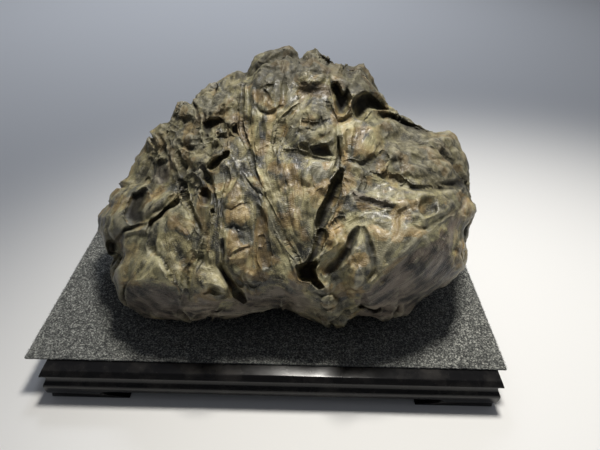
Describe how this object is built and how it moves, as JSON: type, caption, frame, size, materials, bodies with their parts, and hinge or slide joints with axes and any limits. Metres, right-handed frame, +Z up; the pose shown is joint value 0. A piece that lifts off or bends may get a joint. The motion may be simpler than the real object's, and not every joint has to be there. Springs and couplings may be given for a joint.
{
  "type": "scholars rock",
  "caption": "Jagged natural viewing stone with ridges, clefts and a dark underside, set on a grey felt mat on a low black lacquered display stand.",
  "frame": {"origin": "on the surface the stand stands on, under the middle of the whole object's box", "axes": "+Z up, -Y towards the viewer of the stone's face, +X to that viewer's right and along the mat's long side"},
  "size_m": [0.45, 0.3153, 0.2688],
  "materials": {
    "stone": "natural stone, stained olive, ochre and blue-grey, waxed on its lower faces",
    "felt": "grey needled wool felt, straight cut edge",
    "lacquer": "black gloss lacquer over wood"
  },
  "bodies": {
    "root": {"rock": "stone", "mat": "felt", "stand_top": "lacquer", "rail_front": "lacquer", "rail_back": "lacquer", "rail_left": "lacquer", "rail_right": "lacquer"}
  },
  "joints": []
}
